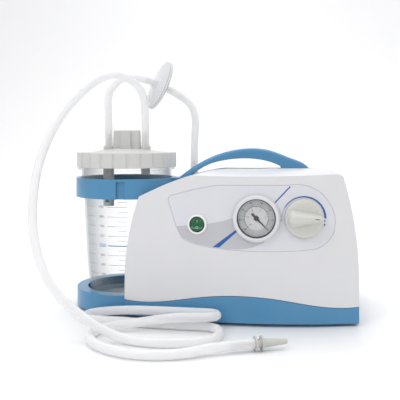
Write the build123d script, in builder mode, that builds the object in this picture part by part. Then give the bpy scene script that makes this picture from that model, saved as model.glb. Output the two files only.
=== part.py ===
"""Portable suction pump: base with jar tray, housing, carry handle, collection jar, filter and tubes.

Millimetres, +Z up, X along the machine with the jar at the left end, -Y towards the user.
The origin is on the floor, under the middle of the machine.
"""

import math
import os

from build123d import *

os.makedirs("parts", exist_ok=True)

# Machine body
left_x = -98.0
right_x = 175.0
rear_y = 96.0
corner_y = -69.0
front_bulge = 21.0
front_lean = 2.5
foot_height = 3.0
body_top = 176.5
wall = 2.5
seam_gap = 0.5
fit = 0.3
slide_fit = 0.1

# Jar, ring and tray
jar_x = -111.0
jar_y = -6.0
jar_neck_r = 57.6
jar_waist_r = 54.9
jar_foot_r = 46.5
jar_wall = 2.4
jar_floor_z = 14.0
jar_top_z = 186.8
neck_flange_r = 62.4
neck_flange_z = 173.6
ring_r = 64.5
ring_inner_r = 59.0
ring_low_z = 139.6
ring_top_z = 163.4
tray_r = 63.0
tray_rim_z = 25.0
tray_well_r = 49.5
recess_r = 60.5

# Lid
cap_r = 63.6
cap_low_z = 176.6
cap_top_z = 195.2
cap_wall = 2.6
flute_count = 24
flute_r = 2.2
gasket_t = 1.5
lid_flange_t = 4.0
lid_dome_z = 199.8
port_offset = 24.5
port_top_z = 203.0
grip_length = 38.0
grip_top_z = 223.4

# Tubes
tube_r = 5.0
bore_r = 3.0
barb_r = bore_r - slide_fit

# Filter
filter_r = 33.0
filter_centre = (-72.8, 16.0, 282.7)
filter_axis = (0.802, 0.466, -0.373)
filter_nub = 20.0

# Front panel
switch_at = (-8.1, 113.8)
gauge_at = (59.7, 121.8)
knob_at = (113.1, 122.0)
label_t = 0.8
label_depth = 1.0
bezel_r = 11.5
rocker_r = 8.3
rocker_tilt = 6.0
gauge_r = 26.5
dial_r = 22.0
knob_r = 22.2

# Handle
handle_depth = 26.0
handle_round = 4.0

# Pump and motor
shaft_y = 15.0
shaft_z = 52.0
shaft_r = 4.0
crank_throw = 3.0
piston_r = 18.0
upright_x = 24.0
rear_upright_x = 88.0
upright_t = 4.0
bearing_r = 8.0
bearing_t = 6.0
cylinder_bore_r = piston_r + crank_throw + 1.5
mount_h = 10.0
plate_t = 3.0

# Mains inlet and vent
inlet_at = (135.0, 50.0)
vent_at = (40.0, 92.0)
vent_size = (84.0, 60.0)

mid_x = (left_x + right_x) / 2
half_width = (right_x - left_x) / 2
front_y = corner_y - front_bulge
front_r = (half_width**2 + front_bulge**2) / (2 * front_bulge)
floor_z = foot_height + wall
far = 260.0
lean_slope = math.tan(math.radians(front_lean))

# Height of the seam between base and housing along the machine
seam = [(left_x, 21.0), (-40.0, 24.6), (1.0, 31.7), (38.0, 34.2), (88.0, 30.5), (120.0, 25.0),
        (right_x, 21.8)]


def front_at(x, z, inset=0.0):
    """Y of the front surface."""
    bulge = front_r - math.sqrt(front_r**2 - (x - mid_x) ** 2)
    return front_y + bulge + z * lean_slope + inset


def save(builder, name):
    """Label a finished piece and write it."""
    builder.part.label = name
    export_step(builder.part, f"parts/{name}.step")
    return builder.part


def body_block(inset):
    """Full outer form of base and housing, shrunk by an inset on every side."""
    with BuildPart() as block:
        with BuildSketch(Plane.XZ.offset(-(rear_y - inset))):
            with BuildLine():
                low = foot_height + inset
                left = left_x + inset
                right = right_x - inset
                top = body_top - inset
                Line((right, low), (left, low))
                Line((left, low), (left, 50))
                ThreePointArc((left, 50), (left + 4.5, 95), (left + 16, 139))
                Line((left + 16, 139), (left + 17.5, 143.5 - inset))
                Line((left + 17.5, 143.5 - inset), (-59, 153.5 - inset))
                ThreePointArc((-59, 153.5 - inset), (-19, 168.5 - inset), (30, top))
                Line((30, top), (120, top))
                ThreePointArc((120, top), (143, top - 1.5), (right - 17.5, top - 7.5))
                ThreePointArc((right - 17.5, top - 7.5), (right - 3.5, 105), (right, 50))
                Line((right, 50), (right, low))
            make_face()
        extrude(amount=far)
        with BuildSketch(Plane(origin=(0, inset, 0), x_dir=(1, 0, 0), z_dir=(0, lean_slope, 1))):
            with BuildLine():
                Line((left_x, far), (left_x, corner_y))
                ThreePointArc((left_x, corner_y), (mid_x, front_y), (right_x, corner_y))
                Line((right_x, corner_y), (right_x, far))
                Line((right_x, far), (left_x, far))
            make_face()
        extrude(amount=far, mode=Mode.INTERSECT)
        with BuildSketch(Plane.YZ.offset(left_x)):
            with BuildLine():
                Line((-far, 0), (far, 0))
                Line((far, 0), (far, 140 - inset))
                Line((far, 140 - inset), (rear_y, 158 - inset))
                ThreePointArc((rear_y, 158 - inset), (0, 176 - inset), (front_y, 167.3 - inset))
                Line((front_y, 167.3 - inset), (-far, 160 - inset))
                Line((-far, 160 - inset), (-far, 0))
            make_face()
        extrude(amount=right_x - left_x, mode=Mode.INTERSECT)
    return block.part


def seam_solid(drop, upper):
    """Everything above, or below, the wavy seam."""
    limit = far if upper else -10.0
    with BuildPart() as half:
        with BuildSketch(Plane.XZ.offset(-far)):
            with BuildLine():
                Spline(*[(x, z - drop) for x, z in seam])
                Line((right_x, seam[-1][1] - drop), (right_x + far, seam[-1][1] - drop))
                Line((right_x + far, seam[-1][1] - drop), (right_x + far, limit))
                Line((right_x + far, limit), (left_x - far, limit))
                Line((left_x - far, limit), (left_x - far, seam[0][1] - drop))
                Line((left_x - far, seam[0][1] - drop), (left_x, seam[0][1] - drop))
            make_face()
        extrude(amount=2 * far)
    return half.part


def round_bar(x, y, low, high, radius):
    """Upright cylinder."""
    with BuildPart() as bar:
        with BuildSketch(Plane.XY.offset(low)):
            with Locations((x, y)):
                Circle(radius)
        extrude(amount=high - low)
    return bar.part


def block(x, y, z, dx, dy, dz):
    """Box from its low corner."""
    with BuildPart() as box:
        with BuildSketch(Plane.XY.offset(z)):
            with Locations((x + dx / 2, y + dy / 2)):
                Rectangle(dx, dy)
        extrude(amount=dz)
    return box.part


leg_x = (-51.0, -31.0)
leg_low_z = 152.0
foot_x = (87.0, 124.5)
foot_low_z = 163.0
inner_end = (86.0, 178.6)
inner_start = (-8.3, 178.0)


def handle_solid():
    """Arch of the carry handle with its foot and its leg into the ring."""
    with BuildPart() as arch:
        with BuildSketch(Plane.XZ.offset(-(jar_y + handle_depth / 2))):
            with BuildLine():
                Polyline((leg_x[1], leg_low_z), (leg_x[0], leg_low_z), (leg_x[0], ring_top_z),
                         (-41, ring_top_z))
                Spline((-41, ring_top_z), (6, 192), (41, 200.2), (72, 198), (98, 188.5), (112.4, 182.8),
                       (foot_x[1], 171))
                Polyline((foot_x[1], 171), (foot_x[1], foot_low_z), (foot_x[0], foot_low_z), inner_end)
                Spline(inner_end, (70.4, 184.6), (46.2, 187.9), (20.6, 186.2), inner_start, (leg_x[1], 161))
                Line((leg_x[1], 161), (leg_x[1], leg_low_z))
            make_face()
        extrude(amount=handle_depth)
    return arch.part


def handle_pockets():
    """Pockets in the housing top for the handle's leg and foot."""
    depth = handle_depth + 2 * fit
    with BuildPart() as pockets:
        with BuildSketch(Plane.XZ.offset(-(jar_y + depth / 2))):
            Polygon((leg_x[0] - fit, leg_low_z - fit), (leg_x[1] + fit, leg_low_z - fit),
                    (leg_x[1] + fit, 160.5), (inner_start[0] + fit, inner_start[1] - fit),
                    (inner_start[0] + fit, far),
                    (leg_x[0] - fit, far), align=None)
            Polygon((foot_x[0] - fit, foot_low_z - fit), (foot_x[1] + fit, foot_low_z - fit),
                    (foot_x[1] + fit, far), (inner_end[0] - 2 * fit, far),
                    (inner_end[0] - 2 * fit, inner_end[1]), align=None)
        extrude(amount=depth)
    return pockets.part


finger_x = 39.0
finger_length = 78.0
finger_width = 50.0
finger_floor = 160.0
nozzle_at = (-29.5, 37.0)
nozzle_well_r = 13.0
nozzle_floor = 152.0
boss_r = 5.0
boss_in = wall + boss_r - 1.5
boss_columns = (right_x - 12.0, left_x + 62.0)
screw_places = [(x, rear_y - boss_in) for x in boss_columns]
screw_places += [(x, front_at(x, 40.0) + boss_in) for x in boss_columns]


def finger_well(grow):
    """Dished space in the housing top under the handle."""
    with BuildPart() as well:
        with BuildSketch(Plane.XY.offset(finger_floor - grow)):
            with Locations((finger_x, jar_y)):
                SlotOverall(finger_length + 2 * grow, finger_width + 2 * grow)
        extrude(amount=60)
    return well.part


def nozzle_well(grow):
    return round_bar(*nozzle_at, nozzle_floor - grow, body_top + 20, nozzle_well_r + grow)


outer = body_block(0)
cavity = body_block(wall)

# Space inside, less the walls round the jar recess, the finger well and the nozzle well
with BuildPart() as inside:
    add(cavity)
    add(round_bar(jar_x, jar_y, 0, far, recess_r + wall), mode=Mode.SUBTRACT)
    add(round_bar(jar_x, jar_y, ring_low_z - wall - fit, far, ring_r + fit + wall), mode=Mode.SUBTRACT)
    add(finger_well(wall), mode=Mode.SUBTRACT)
    add(nozzle_well(wall), mode=Mode.SUBTRACT)

# Panel outline on the front face
def panel_prism(grow):
    """Panel outline carried straight through the front wall."""
    with BuildPart() as prism:
        with BuildSketch(Plane.XZ.offset(40)):
            with BuildLine():
                ThreePointArc((-43.3, 140), (-41, 145.2), (-34.8, 147))
                ThreePointArc((-34.8, 147), (-9, 154.2), (17.7, 159))
                Line((17.7, 159), (96.5, 159.2))
                ThreePointArc((96.5, 159.2), (126, 154.8), (142.7, 137.2))
                ThreePointArc((142.7, 137.2), (147.9, 122.3), (146.5, 106.5))
                ThreePointArc((146.5, 106.5), (138.5, 94.6), (122.8, 87.1))
                ThreePointArc((122.8, 87.1), (66, 84.6), (10.4, 87.6))
                ThreePointArc((10.4, 87.6), (-8, 90.6), (-25.9, 96.7))
                Polyline((-25.9, 96.7), (-33.2, 110.8), (-43.3, 140))
            make_face()
            if grow:
                offset(amount=grow)
        extrude(amount=70)
    return prism.part


def panel_plane(at, rise=0.0):
    """Plane on the front face, its Z pointing out of the machine."""
    x, z = at
    across = math.asin((x - mid_x) / front_r)
    out = Vector(math.sin(across), -math.cos(across), math.sin(math.radians(front_lean)))
    origin = Vector(x, front_at(x, z), z) + out.normalized() * rise
    return Plane(origin=origin, x_dir=(math.cos(across), math.sin(across), 0), z_dir=out)


def turned(plane, angle):
    """The plane turned about its own normal."""
    turn = math.radians(angle)
    x_dir = plane.x_dir * math.cos(turn) + plane.y_dir * math.sin(turn)
    return Plane(origin=plane.origin, x_dir=x_dir, z_dir=plane.z_dir)


def tipped(plane, angle):
    """The plane tipped about its own X, its normal leaning towards its Y."""
    turn = math.radians(angle)
    z_dir = plane.z_dir * math.cos(turn) + plane.y_dir * math.sin(turn)
    return Plane(origin=plane.origin, x_dir=plane.x_dir, z_dir=z_dir)


def crossing(plane):
    """Plane through the same origin, looking along the given plane's X."""
    return Plane(origin=plane.origin, x_dir=plane.z_dir, z_dir=plane.x_dir)


def disc(plane, radius, low, high, hole=0.0):
    """Disc or ring standing on a plane."""
    with BuildPart() as piece:
        with BuildSketch(plane.offset(low)):
            Circle(radius)
            if hole:
                Circle(hole, mode=Mode.SUBTRACT)
        extrude(amount=high - low)
    return piece.part


panel_floor = body_block(label_depth)

with BuildPart() as shell:
    add(outer)
    add(inside.part, mode=Mode.SUBTRACT)
    for x, y in screw_places:
        add(round_bar(x, y, foot_height, 60, boss_r))
    add(round_bar(jar_x, jar_y, tray_rim_z, far, recess_r), mode=Mode.SUBTRACT)
    for x, y in screw_places:
        add(round_bar(x, y, 0, 50, 1.8), mode=Mode.SUBTRACT)
    add(outer, mode=Mode.INTERSECT)

# Base with its jar tray
with BuildPart() as base_shell:
    add(shell.part)
    add(seam_solid(seam_gap, False), mode=Mode.INTERSECT)
    add(round_bar(jar_x, jar_y, foot_height, tray_rim_z, tray_r))
    add(round_bar(jar_x, jar_y, jar_floor_z, far, tray_well_r), mode=Mode.SUBTRACT)
    with BuildSketch(Plane.XY.offset(foot_height)):
        with Locations((jar_x, jar_y)):
            Circle(tray_r - wall)
            Circle(tray_well_r + wall, mode=Mode.SUBTRACT)
            Circle(tray_well_r - wall)
            Circle(12, mode=Mode.SUBTRACT)
    extrude(amount=jar_floor_z - wall - foot_height, mode=Mode.SUBTRACT)
    for x, y in screw_places:
        add(round_bar(x, y, 0, foot_height + 3, 3.6), mode=Mode.SUBTRACT)
save(base_shell, "base_shell")

# Housing
with BuildPart() as upper_housing:
    add(shell.part)
    add(seam_solid(0, True), mode=Mode.INTERSECT)
    add(round_bar(jar_x, jar_y, 0, tray_rim_z + fit, tray_r + fit), mode=Mode.SUBTRACT)
    add(round_bar(jar_x, jar_y, ring_low_z - fit, far, ring_r + fit), mode=Mode.SUBTRACT)
    add(finger_well(0), mode=Mode.SUBTRACT)
    add(nozzle_well(0), mode=Mode.SUBTRACT)
    add(round_bar(*nozzle_at, 140, 160, 4.2), mode=Mode.SUBTRACT)
    add(handle_pockets(), mode=Mode.SUBTRACT)
    add(panel_prism(0.2) - panel_floor, mode=Mode.SUBTRACT)
    add(disc(panel_plane(switch_at), 10.2, -10, 5), mode=Mode.SUBTRACT)
    add(disc(panel_plane(gauge_at), 24.8, -10, 5), mode=Mode.SUBTRACT)
    add(disc(panel_plane(knob_at), 5.2, -10, 5), mode=Mode.SUBTRACT)
    with BuildSketch(Plane.XZ.offset(-(rear_y + 1))):
        with Locations(inlet_at):
            Rectangle(31, 45)
        with Locations(vent_at):
            Rectangle(vent_size[0] - 12, vent_size[1] - 12)
    extrude(amount=wall + 2, mode=Mode.SUBTRACT)
save(upper_housing, "upper_housing")

# Carry handle and jar ring, one moulding
with BuildPart() as carry_handle:
    add(handle_solid())
    fillet(carry_handle.edges().filter_by(Axis.Y, reverse=True).group_by(SortBy.LENGTH)[-1], handle_round)
    with BuildSketch(Plane.XY.offset(ring_low_z)):
        with Locations((jar_x, jar_y)):
            Circle(ring_r)
    extrude(amount=ring_top_z - ring_low_z)
    add(round_bar(jar_x, jar_y, 0, far, ring_inner_r), mode=Mode.SUBTRACT)
    with BuildSketch(Plane.XY.offset(ring_low_z)):
        with Locations((jar_x + 8, jar_y - ring_r)):
            Rectangle(10, 7)
    extrude(amount=ring_top_z - ring_low_z - 3, mode=Mode.SUBTRACT)
save(carry_handle, "carry_handle")

# Front label with its three holes
with BuildPart() as control_label:
    add(panel_prism(0))
    add(body_block(label_depth - label_t), mode=Mode.INTERSECT)
    add(panel_floor, mode=Mode.SUBTRACT)
    add(disc(panel_plane(switch_at), 10.3, -10, 5), mode=Mode.SUBTRACT)
    add(disc(panel_plane(gauge_at), 24.9, -10, 5), mode=Mode.SUBTRACT)
    add(disc(panel_plane(knob_at), 5.4, -10, 5), mode=Mode.SUBTRACT)
save(control_label, "control_label")

# Feet
foot_places = [(150, 65), (150, -45), (0, 65), (0, -60), (jar_x, jar_y)]
with BuildPart() as rubber_feet:
    with BuildSketch():
        with Locations(*foot_places):
            Circle(9)
    extrude(amount=foot_height)
    chamfer(rubber_feet.faces().sort_by(Axis.Z)[0].edges(), 0.8)
save(rubber_feet, "rubber_feet")

# Power switch
switch_plane = panel_plane(switch_at, 0.2)
switch_depth = 18.0
pivot_depth = 1.5
pivot_r = 1.2
with BuildPart() as switch_bezel:
    add(disc(switch_plane, bezel_r, 0, 2.0))
    chamfer(switch_bezel.edges().filter_by(GeomType.CIRCLE).sort_by(Axis.Y)[0], 1.0)
    add(disc(switch_plane, 10.0, -switch_depth, 0.5))
    add(disc(switch_plane, rocker_r + 0.8, -6, 3), mode=Mode.SUBTRACT)
    with BuildSketch(crossing(switch_plane.offset(-pivot_depth))):
        Circle(pivot_r + slide_fit)
    extrude(amount=9.6, both=True, mode=Mode.SUBTRACT)
save(switch_bezel, "switch_bezel")

rocker_plane = tipped(switch_plane.offset(-pivot_depth), rocker_tilt)
with BuildPart() as switch_rocker:
    add(disc(rocker_plane, rocker_r, -2.6, 3.4))
    with BuildSketch(crossing(rocker_plane)):
        with Locations((18.0, 0)):
            Circle(15.6)
    extrude(amount=9, both=True, mode=Mode.SUBTRACT)
    with BuildSketch(crossing(rocker_plane)):
        Circle(pivot_r)
    extrude(amount=9.4, both=True)
save(switch_rocker, "switch_rocker")

# Vacuum gauge
gauge_plane = panel_plane(gauge_at, 0.2)
gauge_case_r = 24.4
with BuildPart() as gauge_case:
    add(disc(gauge_plane, gauge_case_r, -26, 0))
    add(disc(gauge_plane, gauge_case_r - 1.6, -24.4, 1), mode=Mode.SUBTRACT)
    add(disc(gauge_plane, 5, -34, -26))
    add(disc(gauge_plane, 1.6, -36, -20), mode=Mode.SUBTRACT)
save(gauge_case, "gauge_case")

with BuildPart() as gauge_movement:
    add(disc(gauge_plane, 9, -24.4, -8, 2.0))
    add(disc(gauge_plane, 18, -8, -2.4, 2.0))
save(gauge_movement, "gauge_movement")

with BuildPart() as gauge_dial:
    add(disc(gauge_plane, gauge_case_r - 1.8, -2.4, -1.6, 1.4))
save(gauge_dial, "gauge_dial")

with BuildPart() as gauge_bezel:
    add(disc(gauge_plane, gauge_r, 0, 5.5))
    chamfer(gauge_bezel.edges().filter_by(GeomType.CIRCLE).sort_by(Axis.Y)[0], 1.8)
    add(disc(gauge_plane, dial_r, -1, 6), mode=Mode.SUBTRACT)
    add(disc(gauge_plane, dial_r + 1.2, -1, 2.8), mode=Mode.SUBTRACT)
save(gauge_bezel, "gauge_bezel")

with BuildPart() as gauge_lens:
    add(disc(gauge_plane, dial_r + 1.1, 1.2, 2.8))
save(gauge_lens, "gauge_lens")

needle_angle = -45.0
needle_plane = turned(gauge_plane, needle_angle)
with BuildPart() as gauge_needle:
    add(disc(needle_plane, 0.9, -7, -0.4))
    with BuildSketch(needle_plane.offset(-0.9)):
        Circle(2.2)
        Polygon((-6, -0.9), (17, -0.25), (17, 0.25), (-6, 0.9), align=None)
    extrude(amount=0.5)
save(gauge_needle, "gauge_needle")

# Suction knob and the regulator behind it
knob_plane = panel_plane(knob_at, 0.6)
stem_r = 3.0
with BuildPart() as suction_knob:
    add(disc(knob_plane, knob_r, 0, 5.0))
    chamfer(suction_knob.edges().filter_by(GeomType.CIRCLE).sort_by(Axis.Y)[0], 1.2)
    add(disc(knob_plane, knob_r - 3.5, 5.0, 7.0))
    with BuildSketch(knob_plane.offset(5.0)):
        Polygon((-20, -7.5), (19.5, -3.6), (19.5, 3.6), (-20, 7.5), align=None)
    extrude(amount=14, taper=8)
    add(disc(knob_plane, stem_r, -0.1, 11), mode=Mode.SUBTRACT)
save(suction_knob, "suction_knob")

with BuildPart() as regulator_stem:
    add(disc(knob_plane, stem_r, -22, 11))
save(regulator_stem, "regulator_stem")

regulator_back = 34.0
with BuildPart() as regulator_body:
    add(disc(knob_plane, 12, -regulator_back, -4.4))
    add(disc(knob_plane, 5.0, -5, -1.0))
    add(disc(knob_plane, stem_r + slide_fit, -24, 0), mode=Mode.SUBTRACT)
    add(disc(knob_plane, 5, -regulator_back - 8, -regulator_back))
    add(disc(knob_plane, 1.6, -regulator_back - 9, -22), mode=Mode.SUBTRACT)
save(regulator_body, "regulator_body")

# Collection jar
jar_plane = Plane(origin=(jar_x, jar_y, 0), x_dir=(1, 0, 0), z_dir=(0, -1, 0))
jar_axis = Axis((jar_x, jar_y, 0), (0, 0, 1))
with BuildPart() as jar_body:
    with BuildSketch(jar_plane):
        with BuildLine():
            Line((0, jar_floor_z), (jar_foot_r - 5, jar_floor_z))
            ThreePointArc((jar_foot_r - 5, jar_floor_z), (jar_foot_r - 1.3, jar_floor_z + 1.6),
                          (jar_foot_r, jar_floor_z + 6))
            Line((jar_foot_r, jar_floor_z + 6), (jar_waist_r - 4.4, 58))
            Line((jar_waist_r - 4.4, 58), (jar_waist_r, 148))
            Line((jar_waist_r, 148), (jar_neck_r, 156))
            Line((jar_neck_r, 156), (jar_neck_r, neck_flange_z))
            Line((jar_neck_r, neck_flange_z), (neck_flange_r, neck_flange_z))
            Line((neck_flange_r, neck_flange_z), (neck_flange_r, neck_flange_z + 2.6))
            Line((neck_flange_r, neck_flange_z + 2.6), (jar_neck_r, neck_flange_z + 2.6))
            Line((jar_neck_r, neck_flange_z + 2.6), (jar_neck_r, jar_top_z))
            Line((jar_neck_r, jar_top_z), (jar_neck_r - jar_wall, jar_top_z))
            Line((jar_neck_r - jar_wall, jar_top_z), (jar_neck_r - jar_wall, 156.5))
            Line((jar_neck_r - jar_wall, 156.5), (jar_waist_r - jar_wall, 148.5))
            Line((jar_waist_r - jar_wall, 148.5), (jar_waist_r - 4.4 - jar_wall, 58.5))
            Line((jar_waist_r - 4.4 - jar_wall, 58.5), (jar_foot_r - jar_wall, jar_floor_z + 7))
            Line((jar_foot_r - jar_wall, jar_floor_z + 7), (jar_foot_r - 6.5, jar_floor_z + jar_wall))
            Line((jar_foot_r - 6.5, jar_floor_z + jar_wall), (0, jar_floor_z + jar_wall))
            Line((0, jar_floor_z + jar_wall), (0, jar_floor_z))
        make_face()
    revolve(axis=jar_axis)
save(jar_body, "jar_body")

# Lid: gasket, cover with its ports, grip and float cage, and the fluted screw ring
cover_low_z = jar_top_z + gasket_t
cover_top_z = cover_low_z + lid_flange_t
left_port_x = jar_x - port_offset
right_port_x = jar_x + port_offset
cage_r = 7.0
cage_wall = 1.2
cage_low_z = 125.6
cap_mouth_r = 50.0
port_stub = 17.0

with BuildPart() as lid_gasket:
    with BuildSketch(Plane.XY.offset(jar_top_z)):
        with Locations((jar_x, jar_y)):
            Circle(jar_neck_r)
            Circle(jar_neck_r - jar_wall - 1.5, mode=Mode.SUBTRACT)
    extrude(amount=gasket_t)
save(lid_gasket, "lid_gasket")

with BuildPart() as lid_cover:
    with BuildSketch(jar_plane):
        with BuildLine():
            Line((0, cover_low_z), (jar_neck_r - 0.2, cover_low_z))
            Line((jar_neck_r - 0.2, cover_low_z), (jar_neck_r - 0.2, cover_top_z))
            Line((jar_neck_r - 0.2, cover_top_z), (cap_mouth_r - 0.6, cover_top_z))
            Line((cap_mouth_r - 0.6, cover_top_z), (cap_mouth_r - 0.6, cap_top_z - 0.6))
            ThreePointArc((cap_mouth_r - 0.6, cap_top_z - 0.6), (25, lid_dome_z - 1.0), (0, lid_dome_z))
            Line((0, lid_dome_z), (0, cover_low_z))
        make_face()
    revolve(axis=jar_axis)
    with BuildSketch(Plane.XY.offset(cover_low_z)):
        with Locations((jar_x, jar_y)):
            Circle(cap_mouth_r - 4)
    extrude(amount=3.6, mode=Mode.SUBTRACT)
    with BuildSketch(Plane.XY.offset(lid_dome_z - 5)):
        with Locations((left_port_x, jar_y), (right_port_x, jar_y)):
            Circle(6.6)
    extrude(amount=port_top_z - lid_dome_z + 5)
    with BuildSketch(Plane.XY.offset(lid_dome_z - 4)):
        with Locations((jar_x, jar_y)):
            SlotOverall(grip_length, 11)
            Rectangle(14, 18)
    extrude(amount=grip_top_z - lid_dome_z + 4, taper=3)
    fillet(lid_cover.faces().sort_by(Axis.Z)[-1].edges(), 1.2)
    with BuildSketch(Plane.XY.offset(cover_low_z - 22)):
        with Locations((left_port_x, jar_y), (right_port_x, jar_y)):
            Circle(cage_r - cage_wall)
    extrude(amount=26)
    with BuildSketch(Plane.XY.offset(lid_dome_z - 6)):
        with Locations((left_port_x, jar_y), (right_port_x, jar_y)):
            Circle(barb_r)
    extrude(amount=port_top_z + port_stub - lid_dome_z + 6)
    with BuildSketch(Plane.XY.offset(cover_low_z - 30)):
        with Locations((left_port_x, jar_y), (right_port_x, jar_y)):
            Circle(1.7)
    extrude(amount=80, mode=Mode.SUBTRACT)
save(lid_cover, "lid_cover")

with BuildPart() as float_cage:
    add(round_bar(left_port_x, jar_y, cage_low_z, cover_low_z - 8, cage_r))
    add(round_bar(left_port_x, jar_y, cage_low_z + cage_wall, cover_low_z, cage_r - cage_wall),
        mode=Mode.SUBTRACT)
    add(round_bar(left_port_x, jar_y, cage_low_z - 1, cover_low_z, 2.0), mode=Mode.SUBTRACT)
    add(block(left_port_x - 12, jar_y - 2.5, cage_low_z + 5, 24, 5, 20), mode=Mode.SUBTRACT)
    add(block(left_port_x - 2.5, jar_y - 12, cage_low_z + 5, 5, 24, 20), mode=Mode.SUBTRACT)
save(float_cage, "float_cage")

float_r = cage_r - cage_wall - 0.5
float_low_z = cage_low_z + cage_wall + fit
with BuildPart() as float_valve:
    add(round_bar(left_port_x, jar_y, float_low_z, float_low_z + 20, float_r))
    chamfer(float_valve.edges().filter_by(GeomType.CIRCLE), 1.0)
save(float_valve, "float_valve")

with BuildPart() as lid_screw_ring:
    with BuildSketch(Plane.XY.offset(cap_low_z)):
        with Locations((jar_x, jar_y)):
            Circle(cap_r)
            with PolarLocations(cap_r + 0.9, flute_count):
                Circle(flute_r, mode=Mode.SUBTRACT)
    extrude(amount=cap_top_z - cap_low_z)
    chamfer(lid_screw_ring.faces().sort_by(Axis.Z)[-1].edges(), 0.9)
    add(round_bar(jar_x, jar_y, 0, cover_top_z + 0.3, jar_neck_r + 0.5), mode=Mode.SUBTRACT)
    add(round_bar(jar_x, jar_y, 0, far, cap_mouth_r), mode=Mode.SUBTRACT)
save(lid_screw_ring, "lid_screw_ring")


def run_radii(points):
    """Bend radius at each inner point: tangents take 0.45 of the shorter run beside it."""
    radii = []
    for before, at, after in zip(points, points[1:], points[2:]):
        first = Vector(*at) - Vector(*before)
        second = Vector(*after) - Vector(*at)
        half_turn = math.radians(first.get_angle(second)) / 2
        radii.append(0.45 * min(first.length, second.length) / math.tan(half_turn))
    return radii


def tube(name, points, radius=tube_r, bore=bore_r):
    """Plain tube along straight runs joined by tangent arcs."""
    radii = run_radii(points)
    print(name, "radii", [round(value, 1) for value in radii])
    with BuildPart() as piece:
        with BuildLine() as route:
            FilletPolyline(*points, radius=radii)
        with BuildSketch(Plane(origin=route.line @ 0, z_dir=route.line % 0)):
            Circle(radius)
            Circle(bore, mode=Mode.SUBTRACT)
        sweep()
    length = route.wires()[0].length
    print(name, "length", round(length, 1), "volume", round(piece.part.volume, 1),
          "section x length", round(math.pi * (radius**2 - bore**2) * length, 1))
    return piece


# Filter: two dished halves round a membrane
filter_plane = Plane(origin=filter_centre, z_dir=filter_axis)
rim_t = 2.6


def filter_half(side):
    """Dish with its nub; side is -1 for the inlet and +1 for the outlet."""
    plane = Plane(origin=filter_plane.origin, x_dir=filter_plane.x_dir, z_dir=filter_plane.z_dir * side)
    with BuildPart() as half:
        with BuildSketch(Plane(origin=plane.origin, x_dir=plane.x_dir, z_dir=plane.y_dir * -1)):
            with BuildLine():
                Polyline((barb_r - 1.4, 5.5), (10, 3.6), (filter_r - 3, 0.5), (filter_r - 3, 0.3),
                         (filter_r, 0.3), (filter_r, rim_t), (filter_r - 2, rim_t), (10, 6.2), (6.4, 8.6),
                         (4.4, 10.0),
                         (barb_r, 10.0), (barb_r, filter_nub), (barb_r - 1.4, filter_nub),
                         (barb_r - 1.4, 5.5))
            make_face()
        revolve(axis=Axis(plane.origin, plane.z_dir))
    return half


save(filter_half(-1), "filter_inlet_half")
save(filter_half(1), "filter_outlet_half")
with BuildPart() as filter_membrane:
    with BuildSketch(filter_plane.offset(-0.3)):
        Circle(filter_r - 0.4)
    extrude(amount=0.6)
save(filter_membrane, "filter_membrane")


def along_filter(distance):
    return tuple(filter_plane.origin + filter_plane.z_dir * distance)


# Tubes
nub_face = 10.2
tube_jar_to_filter = tube("tube_jar_to_filter", [
    (left_port_x, jar_y, port_top_z), (left_port_x, jar_y, 238), (left_port_x - 2, jar_y, 276),
    along_filter(-nub_face - 33), along_filter(-nub_face)])
save(tube_jar_to_filter, "tube_jar_to_filter")

tube_filter_to_pump = tube("tube_filter_to_pump", [
    along_filter(nub_face), along_filter(nub_face + 25), (-27.0, 39.5, 249), (*nozzle_at, 206),
    (*nozzle_at, nozzle_floor + 13)])
save(tube_filter_to_pump, "tube_filter_to_pump")

cone_at = (62.0, -170.0, 7.8)
cone_heading = math.radians(21.0)
cone_back = (cone_at[0] - 36 * math.cos(cone_heading), cone_at[1] - 36 * math.sin(cone_heading), 7.8)
patient_route = [
    (right_port_x, jar_y, port_top_z), (right_port_x, jar_y, 238), (-87.5, -16, 279), (-124, -39, 299.5),
    (-170, -72, 252), (-191, -108, 187), (-184, -143, 112), (-158, -160, 56), (-118, -161, 23),
    (-78, -166, 5.1), (-32, -175, 5.1), (22, -161, 5.1), (24, -110, 5.1), (-34, -110.5, 5.1),
    (-92, -105, 5.1), (-139, -102, 5.3), (-139.5, -77.5, 6), (-93, -84, 13), (-40, -93, 15.6),
    (-10, -94.5, 15.8), (17, -95.5, 16), (17.5, -118.5, 17.6), (-28, -121, 17), (-72, -123.5, 9.5),
    (-108, -130, 5.1), (-113, -166, 5.1), (-88, -196, 5.1), (-50, -211, 5.1), (-8, -205, 5.1), cone_back,
    cone_at]
patient_tube = tube("patient_tube", patient_route)
save(patient_tube, "patient_tube")

# Conical connector: ribbed barb, two flanges round a vented hub, and the cone
cone_dir = (math.cos(cone_heading), math.sin(cone_heading), 0)
with BuildPart() as conical_connector:
    with BuildSketch(Plane(origin=cone_at, x_dir=cone_dir, z_dir=(cone_dir[1], -cone_dir[0], 0))):
        with BuildLine():
            barb_length = 24.0
            start = [(-barb_length, 1.6), (-barb_length, barb_r - 0.5)]
            ribs = []
            for step in range(6):
                rib_x = -barb_length + 4 * step
                ribs += [(rib_x + 3.4, barb_r), (rib_x + 4, barb_r - 0.5)]
            Polyline(*start, *ribs[:-1], (0, barb_r), (0.2, barb_r), (0.2, 7.5), (2.0, 7.5), (2.0, 4.2),
                     (7.0, 4.2), (7.0, 7.5), (8.8, 7.5), (8.8, 4.9), (10.0, 4.6), (33.0, 2.7), (34.4, 2.2),
                     (34.4, 1.6),
                     (-barb_length, 1.6))
        make_face()
    revolve(axis=Axis(cone_at, cone_dir))
    with BuildSketch(Plane.XY.offset(cone_at[2])):
        with Locations((cone_at[0] + 4.5 * cone_dir[0], cone_at[1] + 4.5 * cone_dir[1])):
            Circle(1.5)
    extrude(amount=10, mode=Mode.SUBTRACT)
save(conical_connector, "conical_connector")

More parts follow.
